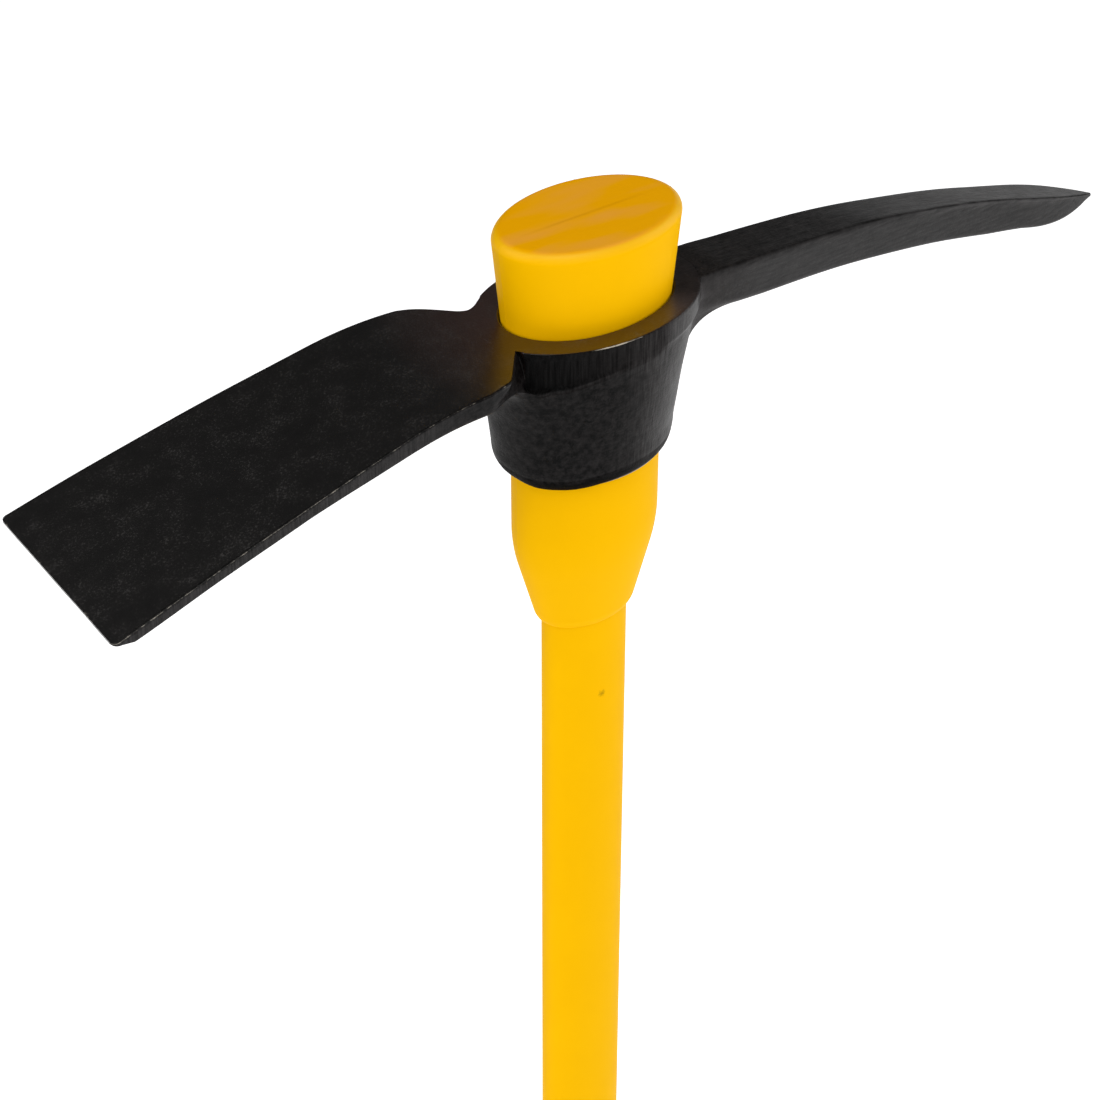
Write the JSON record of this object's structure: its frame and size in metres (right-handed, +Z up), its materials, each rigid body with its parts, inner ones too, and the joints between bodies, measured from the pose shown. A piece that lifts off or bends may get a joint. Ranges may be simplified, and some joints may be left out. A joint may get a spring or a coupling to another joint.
{
  "type": "pick mattock",
  "caption": "Pick mattock: forged steel head with a drooping hoe blade and a curved pick, slipped over a flared oval yellow handle with a fibreglass core.",
  "frame": {"origin": "centre of the butt's flat face, at the lower end of the handle", "axes": "+Z up along the handle to the head, +X along the head to the pick's point, -X to the blade's cutting edge, Y across the head"},
  "size_m": [0.506, 0.093, 0.914],
  "materials": {
    "black_steel": "satin black lacquer over forged steel",
    "yellow_polymer": "satin moulded",
    "glass_fibre": "pultruded rod"
  },
  "bodies": {
    "handle": {"eye_moulding": "yellow_polymer", "shaft_jacket": "yellow_polymer", "core_rod": "glass_fibre", "butt_cap": "yellow_polymer"},
    "head": {"head": "black_steel"}
  },
  "joints": [
    {"name": "head_slide", "type": "slide", "parent": "handle", "child": "head", "axis": [0, 0, 1], "range_m": [-0.79, 0]}
  ]
}
